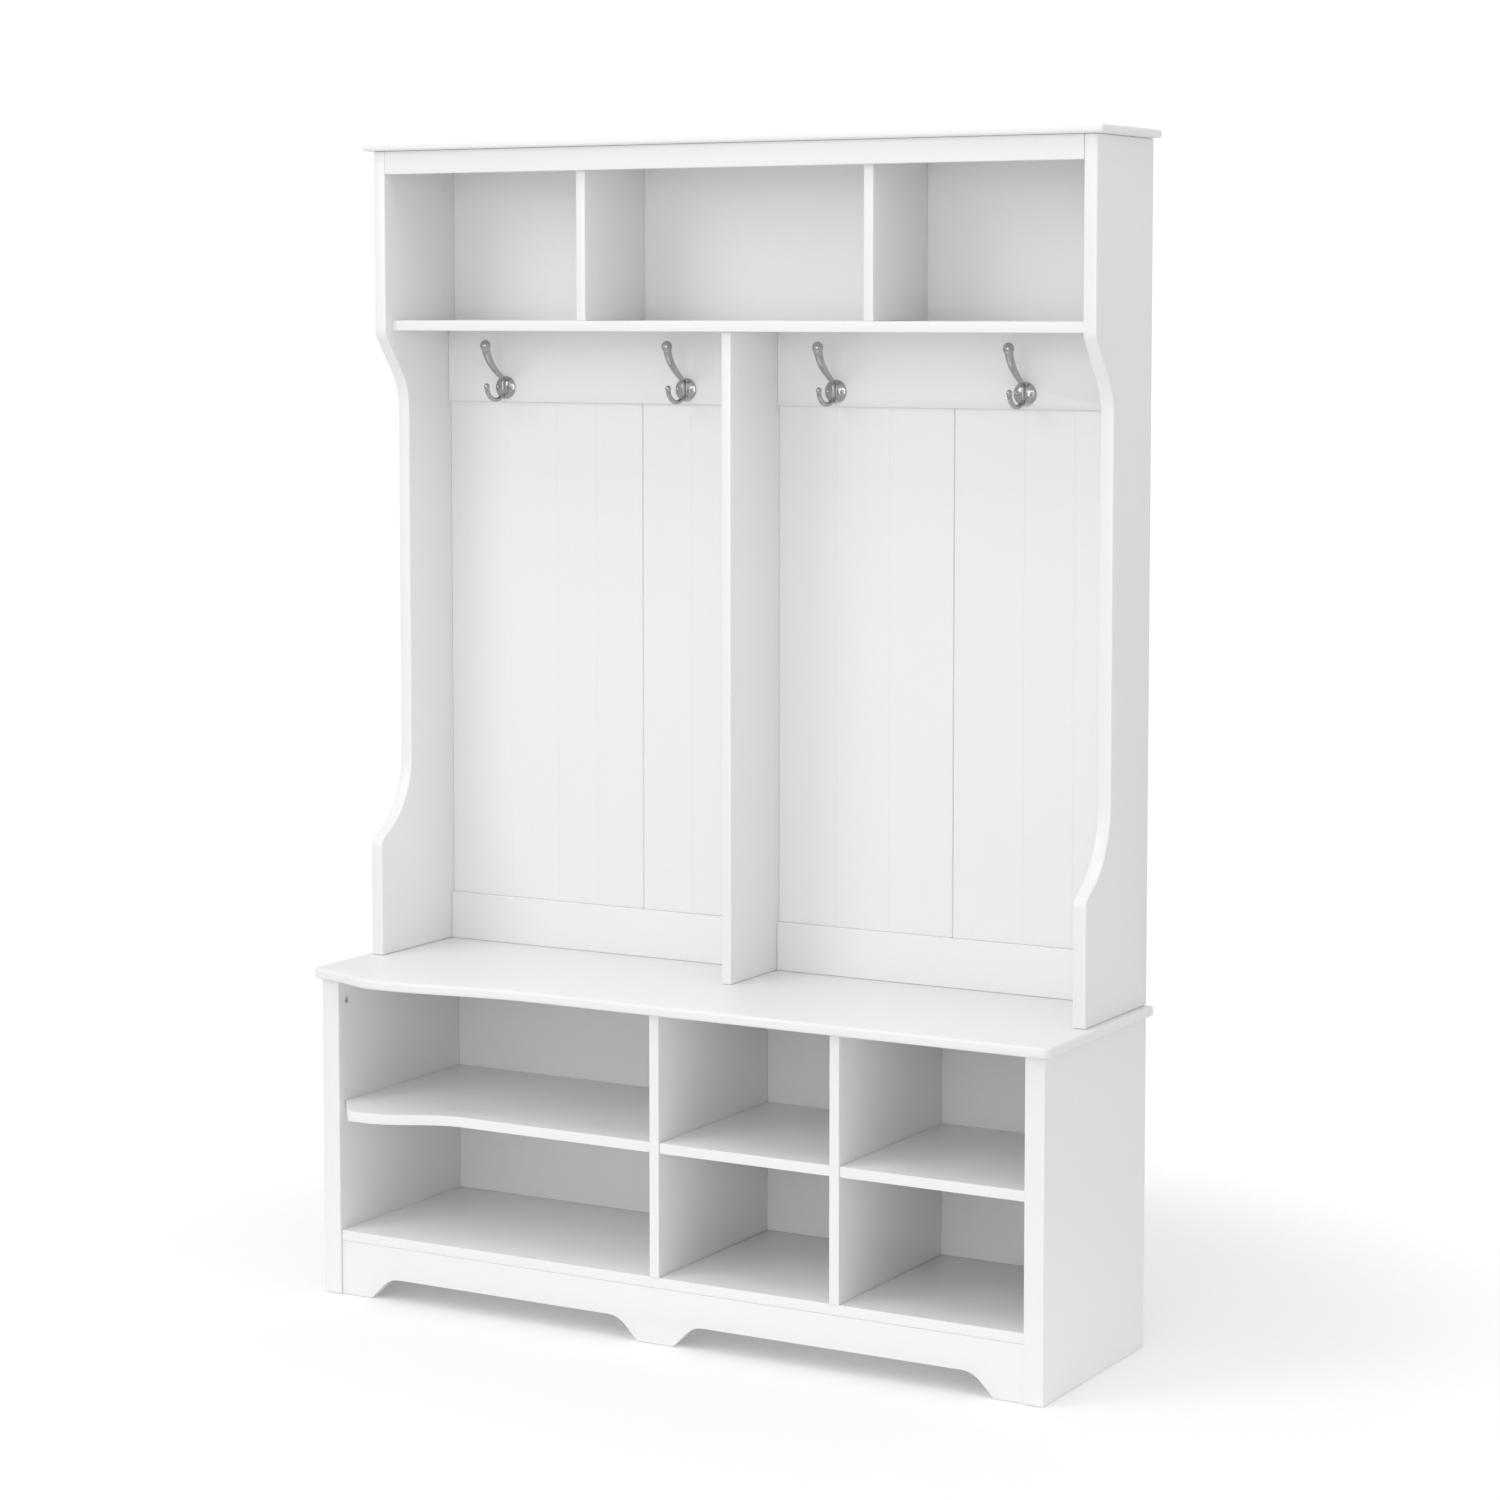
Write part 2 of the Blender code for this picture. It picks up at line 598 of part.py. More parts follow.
def build_beadboards(name, left, right, joint, grooves):
    """The two grooved panels of one coat bay, between its rails."""
    base = SEAT_HEIGHT + LOWER_RAIL_HEIGHT + FIT_GAP
    top = HOOK_RAIL_BASE - FIT_GAP
    seam = left + joint
    lines = [left + distance for distance in grooves]
    first = beadboard_outline(left, seam - FIT_GAP / 2, [x for x in lines if x < seam], False, True)
    second = beadboard_outline(seam + FIT_GAP / 2, right, [x for x in lines if x > seam], True, False)
    keep(plan_slab(first, base, top), f"beadboard_{name}_1")
    keep(plan_slab(second, base, top), f"beadboard_{name}_2")


def build_hutch_bay(name, left, right, joint, grooves, hook_insets):
    """The back of one coat bay: beadboards, hook rail, lower rail and the bay's hooks."""
    build_beadboards(name, left, right, joint, grooves)
    hook_rail = box((left, RAIL_FACE, HOOK_RAIL_BASE), (right, PANEL_BACK, CUBBY_FLOOR_BASE - FIT_GAP))
    keep(hook_rail, f"hook_rail_{name}")
    lower_rail_top = SEAT_HEIGHT + LOWER_RAIL_HEIGHT
    lower_rail = box((left, RAIL_FACE, SEAT_HEIGHT + FIT_GAP), (right, PANEL_BACK, lower_rail_top))
    keep(lower_rail, f"lower_rail_{name}")
    for index, inset in enumerate(hook_insets, start=1):
        add_hook(hook_rail, f"{name}_{index}", left + inset)


# ---- coat hooks ----------------------------------------------------------------------------------
def bezier_point(points, t):
    """A point of the cubic Bezier curve through four control points."""
    a, b, c, d = points
    s = 1.0 - t
    return a * s ** 3 + b * 3 * s * s * t + c * 3 * s * t * t + d * t ** 3


def rod(x, controls, start_radius, end_radius):
    """A tapering round bar in the hook's own plane; controls are (reach, rise) pairs."""
    data = bpy.data.curves.new("rod", "CURVE")
    data.dimensions = "3D"
    data.bevel_depth = 1.0
    data.bevel_resolution = 2
    data.use_fill_caps = True
    spline = data.splines.new("POLY")
    spline.points.add(ARM_STEPS)
    ends = [Vector(pair) for pair in controls]
    for step, point in enumerate(spline.points):
        t = step / ARM_STEPS
        reach, rise = bezier_point(ends, t)
        point.co = (x, RAIL_FACE - reach, HOOK_Z + rise, 1.0)
        point.radius = start_radius + (end_radius - start_radius) * t
    curve = bpy.data.objects.new("rod", data)
    bpy.context.scene.collection.objects.link(curve)
    return to_mesh(curve)


def ball(x, reach, rise, radius, stretch=1.0):
    """A ball, or an egg when stretched along Z, at a place in the hook's plane."""
    bpy.ops.mesh.primitive_uv_sphere_add(segments=14, ring_count=9, radius=radius,
                                         location=(x, RAIL_FACE - reach, HOOK_Z + rise))
    obj = bpy.context.active_object
    obj.scale = (1.0, 1.0, stretch)
    bpy.ops.object.transform_apply(location=False, rotation=False, scale=True)
    return obj


def hook_plate(x):
    """The domed round backplate, turned about its own axis."""
    dome = (PLATE_RADIUS ** 2 + PLATE_CROWN ** 2) / (2 * PLATE_CROWN)
    edge = math.asin(PLATE_RADIUS / dome)
    profile = [(0.0, 0.0), (PLATE_RADIUS, 0.0), (PLATE_RADIUS, PLATE_EDGE)]
    for step in range(1, 5):
        angle = edge * (1.0 - step / 5)
        profile.append((dome * math.sin(angle), PLATE_EDGE + dome * math.cos(angle) - dome + PLATE_CROWN))
    profile.append((0.0, PLATE_EDGE + PLATE_CROWN))
    mesh = bpy.data.meshes.new("plate")
    shaper = bmesh.new()
    corners = [shaper.verts.new((radius, 0.0, height)) for radius, height in reversed(profile)]
    for first, second in zip(corners, corners[1:]):
        shaper.edges.new((first, second))
    shaper.to_mesh(mesh)
    shaper.free()
    obj = bpy.data.objects.new("plate", mesh)
    bpy.context.scene.collection.objects.link(obj)
    turn = obj.modifiers.new("turn", "SCREW")
    turn.axis = "Z"
    turn.steps = 28
    turn.render_steps = 28
    turn.use_merge_vertices = True
    turn.merge_threshold = 0.00005
    obj.rotation_euler = (math.radians(90.0), 0.0, 0.0)
    obj.location = (x, RAIL_FACE - FIT_GAP, HOOK_Z)
    return to_mesh(obj)


def hook_rib(x):
    """The raised spine down the middle of the plate, from which both arms grow."""
    bpy.ops.mesh.primitive_uv_sphere_add(segments=14, ring_count=9, radius=RIB_HALF_LENGTH,
                                         location=(x, RAIL_FACE - RIB_REACH, HOOK_Z))
    obj = bpy.context.active_object
    obj.scale = (RIB_HALF_WIDTH / RIB_HALF_LENGTH, RIB_HALF_DEPTH / RIB_HALF_LENGTH, 1.0)
    bpy.ops.object.transform_apply(location=False, rotation=False, scale=True)
    return obj


def add_hook(rail, name, x):
    """One cast double hook with its two screws, and the screws' bores in the plate and the rail."""
    root_radius = ARM_RADIUS * 1.15
    upper = (UPPER_ROOT, (0.020, 0.022), (0.050, 0.034), (UPPER_REACH, UPPER_RISE))
    lower = (LOWER_ROOT, (0.022, -HOOK_DROP * 1.45), (LOWER_REACH - 0.001, -HOOK_DROP), (LOWER_REACH, 0.002))
    body = hook_plate(x)
    body = union(body, rod(x, upper, root_radius, ARM_RADIUS))
    body = union(body, ball(x, UPPER_REACH, UPPER_RISE, UPPER_BALL, 1.15))
    body = union(body, rod(x, lower, root_radius, ARM_RADIUS * 0.95))
    body = union(body, ball(x, LOWER_REACH, 0.0015, LOWER_BALL, 1.1))
    body = union(body, hook_rib(x))
    keep_nickel(body, f"coat_hook_{name}")
    smooth(body)
    for side, offset in (("left", -SCREW_OFFSET), ("right", SCREW_OFFSET)):
        add_hook_screw(body, rail, f"hook_screw_{name}_{side}", x + offset)


def screw_solid(radius, x, start, end):
    """A round bar along Y at the height of the hook screws."""
    return cylinder(radius, (x, start, HOOK_Z), (x, end, HOOK_Z), SCREW_SIDES)


def add_hook_screw(body, rail, name, x):
    """One pan-head screw through the plate into a blind pilot hole in the rail."""
    dome = (PLATE_RADIUS ** 2 + PLATE_CROWN ** 2) / (2 * PLATE_CROWN)
    surface = PLATE_EDGE + PLATE_CROWN - dome + math.sqrt(dome ** 2 - SCREW_OFFSET ** 2)
    seat = RAIL_FACE - FIT_GAP - surface + SCREW_SINK
    tip = seat + SCREW_LENGTH
    bore = SCREW_RADIUS + SCREW_CLEARANCE
    head_base = seat - FIT_GAP
    cut(body, screw_solid(SCREW_HEAD_RADIUS + SCREW_CLEARANCE, x, seat - PLATE_CROWN, seat))
    cut(body, screw_solid(bore, x, seat - SCREW_SINK, RAIL_FACE + SCREW_SINK))
    cut(rail, screw_solid(bore, x, RAIL_FACE - SCREW_SINK, tip + SCREW_CLEARANCE))
    head = screw_solid(SCREW_HEAD_RADIUS, x, head_base - SCREW_HEAD, head_base)
    shank = screw_solid(SCREW_RADIUS, x, head_base - SCREW_HEAD / 2, tip)
    keep_nickel(union(head, shank), name)


def build_hall_tree():
    """Build the bench, the hutch on it and the crown."""
    build_bench_sides()
    build_bottom_board()
    build_plinth()
    build_bench_back()
    build_bench_dividers()
    build_bench_shelves()
    build_bench_top()
    build_hutch_sides()
    build_hutch_dividers()
    build_cubby()
    build_crown()
    build_hutch_bay("left", HUTCH_LEFT + FIT_GAP, CENTRE_LEFT - FIT_GAP,
                    LEFT_BAY_JOINT, LEFT_BAY_GROOVES, LEFT_BAY_HOOKS)
    build_hutch_bay("right", CENTRE_RIGHT + FIT_GAP, HUTCH_RIGHT - FIT_GAP,
                    RIGHT_BAY_JOINT, RIGHT_BAY_GROOVES, RIGHT_BAY_HOOKS)


clear_scene()
PARTS = new_collection("hall_tree")
CUTTERS = new_collection("cutters")
build_hall_tree()
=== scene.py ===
"""Looks of a white hall tree: a shoe bench with a coat-hook hutch on it.

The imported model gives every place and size. Each class below finishes one sub-assembly of it:
boards get eased edges and lacquer, hooks become smooth castings, and screws, cam locks and glides
get their real faces. All lengths are metres in the model's own frame.
"""

from __future__ import annotations

import logging
import math
from dataclasses import dataclass, field
from enum import Enum
from typing import Any, Iterable, Mapping, Sequence

import bmesh
import bpy
from mathutils import Matrix, Vector

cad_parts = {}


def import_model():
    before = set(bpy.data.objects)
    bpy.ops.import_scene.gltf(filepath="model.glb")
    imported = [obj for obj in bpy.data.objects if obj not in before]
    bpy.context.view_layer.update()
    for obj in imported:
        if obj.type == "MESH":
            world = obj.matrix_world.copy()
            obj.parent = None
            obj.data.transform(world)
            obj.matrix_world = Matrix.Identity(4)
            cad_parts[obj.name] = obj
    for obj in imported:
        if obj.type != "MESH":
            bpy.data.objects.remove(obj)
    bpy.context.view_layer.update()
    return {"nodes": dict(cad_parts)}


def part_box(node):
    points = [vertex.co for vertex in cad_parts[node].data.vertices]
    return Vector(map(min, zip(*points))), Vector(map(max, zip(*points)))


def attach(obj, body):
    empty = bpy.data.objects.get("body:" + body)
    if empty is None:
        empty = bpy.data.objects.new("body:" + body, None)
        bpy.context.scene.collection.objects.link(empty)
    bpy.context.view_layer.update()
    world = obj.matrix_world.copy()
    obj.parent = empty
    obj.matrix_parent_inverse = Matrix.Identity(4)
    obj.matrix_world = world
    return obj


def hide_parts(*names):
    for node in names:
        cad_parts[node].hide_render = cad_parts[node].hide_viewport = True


LOG = logging.getLogger("hall_tree")
ROOT_BODY = "root"
MERGE_DISTANCE = 0.00001
FLAT_ANGLE = math.radians(0.5)
CREASE_ANGLE = math.radians(32.0)

Point = tuple[float, float, float]
Colour = tuple[float, float, float]


class Slot(Enum):
    """The record's material slots."""

    BOARD = "painted_board"
    NICKEL = "satin_nickel"
    ZINC = "cam_zinc"
    NYLON = "nylon"


# ---- node graphs ---------------------------------------------------------------------------------
class Wire:
    """One output socket, with arithmetic that adds Math nodes to its graph."""

    def __init__(self, graph: NodeGraph, socket: bpy.types.NodeSocket) -> None:
        """Keep the socket and the graph that it belongs to."""
        self.graph = graph
        self.socket = socket

    def _math(self, operation: str, first: Any, second: Any) -> Wire:
        """Return the result of one Math node on two values."""
        return self.graph.node("ShaderNodeMath", {"operation": operation}, {0: first, 1: second})

    def __add__(self, other: Any) -> Wire:
        """Return self + other."""
        return self._math("ADD", self, other)

    def __radd__(self, other: Any) -> Wire:
        """Return other + self."""
        return self._math("ADD", other, self)

    def __sub__(self, other: Any) -> Wire:
        """Return self - other."""
        return self._math("SUBTRACT", self, other)

    def __rsub__(self, other: Any) -> Wire:
        """Return other - self."""
        return self._math("SUBTRACT", other, self)

    def __mul__(self, other: Any) -> Wire:
        """Return self * other."""
        return self._math("MULTIPLY", self, other)

    def __rmul__(self, other: Any) -> Wire:
        """Return other * self."""
        return self._math("MULTIPLY", other, self)

    def __pow__(self, other: Any) -> Wire:
        """Return self raised to other."""
        return self._math("POWER", self, other)


class NodeGraph:
    """A shader or geometry tree that is written as Python expressions."""

    def __init__(self, tree: bpy.types.NodeTree) -> None:
        """Keep the tree that the nodes go into."""
        self.tree = tree

    def node(self, kind: str, settings: Mapping[str, Any] | None = None,
             sockets: Mapping[Any, Any] | None = None, output: Any = 0) -> Wire:
        """Add one node.

        Args:
            kind: The node's type name.
            settings: Properties that are set first.
            sockets: Values or wires of its inputs, by name or number.
            output: Name or number of the output that is returned.

        Returns:
            The wire of that output.
        """
        made = self.tree.nodes.new(kind)
        for key, value in (settings or {}).items():
            setattr(made, key, value)
        for key, value in (sockets or {}).items():
            self.feed(made.inputs[key], value)
        return Wire(self, made.outputs[output])

    def feed(self, socket: bpy.types.NodeSocket, value: Any) -> None:
        """Link a wire into a socket, or set the socket's own value."""
        if isinstance(value, Wire):
            self.tree.links.new(value.socket, socket)
        else:
            socket.default_value = value


class ShaderGraph(NodeGraph):
    """A material's nodes round its Principled shader."""

    def __init__(self, name: str) -> None:
        """Make the material and find its shader."""
        self.material = bpy.data.materials.new(name)
        self.material.use_nodes = True
        super().__init__(self.material.node_tree)
        self.shader = self.tree.nodes["Principled BSDF"]

    def coordinates(self) -> Wire:
        """Return the object coordinates, in metres."""
        return self.node("ShaderNodeTexCoord", output="Object")

    def noise(self, scale: float, detail: float, stretch: Point = (1.0, 1.0, 1.0)) -> Wire:
        """Return noise from 0 to 1.

        Args:
            scale: Cells per metre.
            detail: Octaves.
            stretch: Scale along each axis.

        Returns:
            The wire of the noise's value.
        """
        place = self.node("ShaderNodeMapping", None, {"Vector": self.coordinates(), "Scale": stretch})
        return self.node("ShaderNodeTexNoise", None, {"Vector": place, "Scale": scale, "Detail": detail})

    def blend(self, factor: Wire, first: Colour, second: Colour) -> Wire:
        """Return a colour between two, by a factor."""
        sockets = {0: factor, 6: (*first, 1.0), 7: (*second, 1.0)}
        return self.node("ShaderNodeMix", {"data_type": "RGBA"}, sockets, 2)

    def bump(self, height: Wire, strength: float, distance: float) -> Wire:
        """Return the normal that a height gives, its distance in metres."""
        return self.node("ShaderNodeBump", None,
                         {"Strength": strength, "Distance": distance, "Height": height})

    def dress(self, **inputs: Any) -> bpy.types.Material:
        """Set the shader's inputs by name, with _ for a space, and return the material."""
        for key, value in inputs.items():
            self.feed(self.shader.inputs[key.replace("_", " ")], value)
        return self.material


class PieceTree(NodeGraph):
    """A Geometry Nodes tree with named inputs that is baked into a plain mesh."""

    def __init__(self, name: str) -> None:
        """Make an empty tree with a geometry input and output."""
        super().__init__(bpy.data.node_groups.new(name, "GeometryNodeTree"))
        self.tree.interface.new_socket("Geometry", in_out="INPUT", socket_type="NodeSocketGeometry")
        self.tree.interface.new_socket("Geometry", in_out="OUTPUT", socket_type="NodeSocketGeometry")
        self.entry = self.tree.nodes.new("NodeGroupInput")
        self.exit = self.tree.nodes.new("NodeGroupOutput")

    def take(self, name: str, kind: str) -> Wire:
        """Declare a named input and return its wire."""
        self.tree.interface.new_socket(name, in_out="INPUT", socket_type=f"NodeSocket{kind}")
        return Wire(self, self.entry.outputs[name])

    def give(self, geometry: Wire, finish: Wire) -> None:
        """End the tree with realized, dressed geometry."""
        solid = self.node("GeometryNodeRealizeInstances", None, {0: geometry})
        dressed = self.node("GeometryNodeSetMaterial", None, {"Geometry": solid, "Material": finish})
        self.feed(self.exit.inputs[0], dressed)

    def bake(self, name: str, base: bpy.types.Mesh, values: Mapping[str, Any]) -> bpy.types.Object:
        """Run the tree on a mesh.

        Args:
            name: Name of the object that is made.
            base: Mesh that goes in.
            values: Value of each named input.

        Returns:
            An object with the result as its own mesh and no modifier.
        """
        carrier = link(bpy.data.objects.new(name, base))
        modifier = carrier.modifiers.new("tree", "NODES")
        modifier.node_group = self.tree
        identifiers = {item.name: item.identifier for item in self.tree.interface.items_tree
                       if item.in_out == "INPUT"}
        for key, value in values.items():
            modifier[identifiers[key]] = value
        return bake_modifiers(carrier)


# ---- mesh helpers --------------------------------------------------------------------------------
def link(obj: bpy.types.Object) -> bpy.types.Object:
    """Put an object into the scene and return it."""
    bpy.context.scene.collection.objects.link(obj)
    return obj


def bake_modifiers(obj: bpy.types.Object) -> bpy.types.Object:
    """Replace an object's mesh by its evaluated one and drop its modifiers."""
    bpy.context.view_layer.update()
    depsgraph = bpy.context.evaluated_depsgraph_get()
    mesh = bpy.data.meshes.new_from_object(obj.evaluated_get(depsgraph), preserve_all_data_layers=True,
                                           depsgraph=depsgraph)
    obj.modifiers.clear()
    obj.data = mesh
    obj.data.name = obj.name
    return obj


def mesh_object(name: str, shape: bmesh.types.BMesh) -> bpy.types.Object:
    """Turn a bmesh into an object of the scene."""
    mesh = bpy.data.meshes.new(name)
    shape.to_mesh(mesh)
    shape.free()
    return link(bpy.data.objects.new(name, mesh))


def lathe(shape: bmesh.types.BMesh, profile: Sequence[tuple[float, float]], steps: int) -> None:
    """Turn a profile about the Z axis into a closed surface.

    Args:
        shape: Receives the surface.
        profile: (radius, height) pairs from the axis at the bottom to the axis at the top.
        steps: Faces in a turn.
    """
    rings = []
    for radius, height in profile:
        if radius == 0.0:
            rings.append([shape.verts.new((0.0, 0.0, height))])
            continue
        turn = [math.tau * step / steps for step in range(steps)]
        rings.append([shape.verts.new((radius * math.cos(a), radius * math.sin(a), height)) for a in turn])
    for lower, upper in zip(rings, rings[1:]):
        for step in range(steps):
            after = (step + 1) % steps
            if len(lower) == 1:
                shape.faces.new((lower[0], upper[after], upper[step]))
            elif len(upper) == 1:
                shape.faces.new((lower[step], lower[after], upper[0]))
            else:
                shape.faces.new((lower[step], lower[after], upper[after], upper[step]))
    bmesh.ops.recalc_face_normals(shape, faces=shape.faces)


def smooth_by_angle(obj: bpy.types.Object, angle: float = CREASE_ANGLE) -> None:
    """Shade smooth and keep creases above an angle."""
    obj.data.shade_smooth()
    obj.data.set_sharp_from_angle(angle=angle)


def dress(obj: bpy.types.Object, material: bpy.types.Material) -> None:
    """Give an object one material."""
    obj.data.materials.clear()
    obj.data.materials.append(material)


def settle(obj: bpy.types.Object, nodes: Iterable[str]) -> bpy.types.Object:
    """Hang a finished piece on its body and hide the imported solids that it replaces."""
    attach(obj, ROOT_BODY)
    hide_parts(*nodes)
    LOG.info("%s: %d faces", obj.name, len(obj.data.polygons))
    return obj


# ---- finishes ------------------------------------------------------------------------------------
@dataclass(frozen=True)
class SatinLacquer:
    """White lacquer sprayed on fibreboard: faint orange peel and a slightly uneven sheen."""

    name: str = "satin_white_lacquer"
    bright: Colour = (0.862, 0.862, 0.858)
    shade: Colour = (0.845, 0.845, 0.842)
    roughness: float = 0.34
    sheen_swing: float = 0.10
    cloud_scale: float = 2.2
    peel_scale: float = 260.0
    fibre_scale: float = 1500.0
    peel_strength: float = 0.10
    peel_depth: float = 0.0004
    refraction: float = 1.48

    def material(self) -> bpy.types.Material:
        """Return the lacquer's material."""
        graph = ShaderGraph(self.name)
        cloud = graph.noise(self.cloud_scale, 3.0)
        peel = graph.noise(self.peel_scale, 2.0)
        fibre = graph.noise(self.fibre_scale, 1.0)
        return graph.dress(
            Base_Color=graph.blend(cloud, self.shade, self.bright),
            Roughness=self.roughness + (cloud * 0.6 + peel * 0.4 - 0.5) * self.sheen_swing,
            Normal=graph.bump(peel + fibre * 0.25, self.peel_strength, self.peel_depth),
            IOR=self.refraction,
        )


@dataclass(frozen=True)
class SatinNickel:
    """Plated castings: warm grey metal with fine polishing marks."""

    name: str = "satin_nickel"
    light: Colour = (0.50, 0.495, 0.485)
    dark: Colour = (0.36, 0.355, 0.35)
    roughness: float = 0.17
    swing: float = 0.10
    cloud_scale: float = 90.0
    mark_scale: float = 900.0
    mark_stretch: Point = (1.0, 1.0, 0.18)
    mark_strength: float = 0.10
    mark_depth: float = 0.0001

    def material(self) -> bpy.types.Material:
        """Return the metal's material."""
        graph = ShaderGraph(self.name)
        cloud = graph.noise(self.cloud_scale, 3.0)
        marks = graph.noise(self.mark_scale, 2.0, self.mark_stretch)
        return graph.dress(
            Base_Color=graph.blend(cloud, self.dark, self.light),
            Metallic=1.0,
            Roughness=self.roughness + (cloud * 0.5 + marks * 0.5 - 0.5) * self.swing,
            Normal=graph.bump(marks, self.mark_strength, self.mark_depth),
        )


@dataclass(frozen=True)
class DieCastZinc:
    """Bare zinc of the cam locks: dull, mottled grey."""

    name: str = "die_cast_zinc"
    light: Colour = (0.78, 0.78, 0.79)
    dark: Colour = (0.62, 0.62, 0.63)
    roughness: float = 0.42
    swing: float = 0.16
    mottle_scale: float = 1100.0
    mottle_strength: float = 0.25
    mottle_depth: float = 0.0001

    def material(self) -> bpy.types.Material:
        """Return the metal's material."""
        graph = ShaderGraph(self.name)
        mottle = graph.noise(self.mottle_scale, 4.0)
        return graph.dress(
            Base_Color=graph.blend(mottle, self.dark, self.light),
            Metallic=1.0,
            Roughness=self.roughness + mottle * self.swing,
            Normal=graph.bump(mottle, self.mottle_strength, self.mottle_depth),
        )


@dataclass(frozen=True)
class MouldedNylon:
    """Off-white nylon of the floor glides, scuffed matt."""

    name: str = "moulded_nylon"
    light: Colour = (0.72, 0.71, 0.68)
    dark: Colour = (0.62, 0.61, 0.58)
    roughness: float = 0.50
    swing: float = 0.18
    scuff_scale: float = 700.0
    scuff_strength: float = 0.15
    scuff_depth: float = 0.0001

    def material(self) -> bpy.types.Material:
        """Return the plastic's material."""
        graph = ShaderGraph(self.name)
        scuff = graph.noise(self.scuff_scale, 4.0)
        return graph.dress(
            Base_Color=graph.blend(scuff, self.dark, self.light),
            Roughness=self.roughness + scuff * self.swing,
            Normal=graph.bump(scuff, self.scuff_strength, self.scuff_depth),
        )


@dataclass(frozen=True)
class StudioPaper:
    """The pale floor, which fades into the backdrop away from the object.

    Attributes:
        tone: Colour of the paper.
        glow: Light that it gives by itself.
        near: Distance from the middle up to which it is solid.
        far: Distance from which it is gone.
        grain_scale: Cells of its grain in a metre.
        grain_shade: How dark the grain is, as a share of the tone.
    """

    name: str = "studio_paper"
    tone: Colour = (0.86, 0.86, 0.86)
    glow: float = 0.16
    near: float = 0.8
    far: float = 1.5
    grain_scale: float = 12.0
    grain_shade: float = 0.985
    roughness: float = 0.9

    def material(self) -> bpy.types.Material:
        """Return the floor's material."""
        graph = ShaderGraph(self.name)
        grain = graph.noise(self.grain_scale, 2.0)
        darker = tuple(value * self.grain_shade for value in self.tone)
        reach = graph.node("ShaderNodeVectorMath", {"operation": "LENGTH"}, {0: graph.coordinates()}, "Value")
        away = graph.node("ShaderNodeMapRange", {"interpolation_type": "SMOOTHSTEP"},
                          {"Value": reach, "From Min": self.near, "From Max": self.far})
        return graph.dress(
            Base_Color=graph.blend(grain, darker, self.tone),
            Roughness=self.roughness,
            Alpha=1.0 - away,
            Emission_Color=(1.0, 1.0, 1.0, 1.0),
            Emission_Strength=self.glow,
        )


@dataclass
class PaintBox:
    """Every finish as a material."""

    lacquer: bpy.types.Material = field(default_factory=lambda: SatinLacquer().material())
    nickel: bpy.types.Material = field(default_factory=lambda: SatinNickel().material())
    zinc: bpy.types.Material = field(default_factory=lambda: DieCastZinc().material())
    nylon: bpy.types.Material = field(default_factory=lambda: MouldedNylon().material())
    paper: bpy.types.Material = field(default_factory=lambda: StudioPaper().material())


# ---- boards --------------------------------------------------------------------------------------
@dataclass(frozen=True)
class Easing:
    """How a board's edges are rounded.

    Attributes:
        radius: Radius of the round.
        segments: Steps across the round.
        shortest: Edges shorter than this stay sharp, such as those round a bore.
    """

    radius: float = 0.0012
    segments: int = 3
    shortest: float = 0.0


class BoardShop:
    """Makes eased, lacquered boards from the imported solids."""

    def __init__(self, nodes: Mapping[str, bpy.types.Object], paint: PaintBox) -> None:
        """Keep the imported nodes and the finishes."""
        self.nodes = nodes
        self.paint = paint

    def eased(self, node: str, easing: Easing) -> bpy.types.Object:
        """Copy a board's solid, round its edges and lacquer it.

        Args:
            node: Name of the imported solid.
            easing: The rounding.

        Returns:
            The finished piece.
        """
        shape = bmesh.new()
        shape.from_mesh(self.nodes[node].data)
        bmesh.ops.remove_doubles(shape, verts=shape.verts, dist=MERGE_DISTANCE)
        bmesh.ops.dissolve_limit(shape, angle_limit=FLAT_ANGLE, verts=shape.verts, edges=shape.edges)
        weights = shape.edges.layers.float.new("bevel_weight_edge")
        for edge in shape.edges:
            crease = edge.calc_face_angle(0.0) > CREASE_ANGLE
            rounded = crease and edge.calc_length() >= easing.shortest
            edge[weights] = 1.0 if rounded else 0.0
            edge.smooth = rounded or not crease
        for face in shape.faces:
            face.smooth = True
        piece = mesh_object(f"{node}_board", shape)
        bevel = piece.modifiers.new("eased_edges", "BEVEL")
        bevel.width = easing.radius
        bevel.segments = easing.segments
        bevel.limit_method = "WEIGHT"
        bevel.harden_normals = True
        bevel.use_clamp_overlap = True
        bake_modifiers(piece)
        dress(piece, self.paint.lacquer)
        return settle(piece, [node])

    def carried(self, node: str) -> None:
        """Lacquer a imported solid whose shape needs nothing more."""
        dress(self.nodes[node], self.paint.lacquer)
        LOG.info("%s: carried over", node)


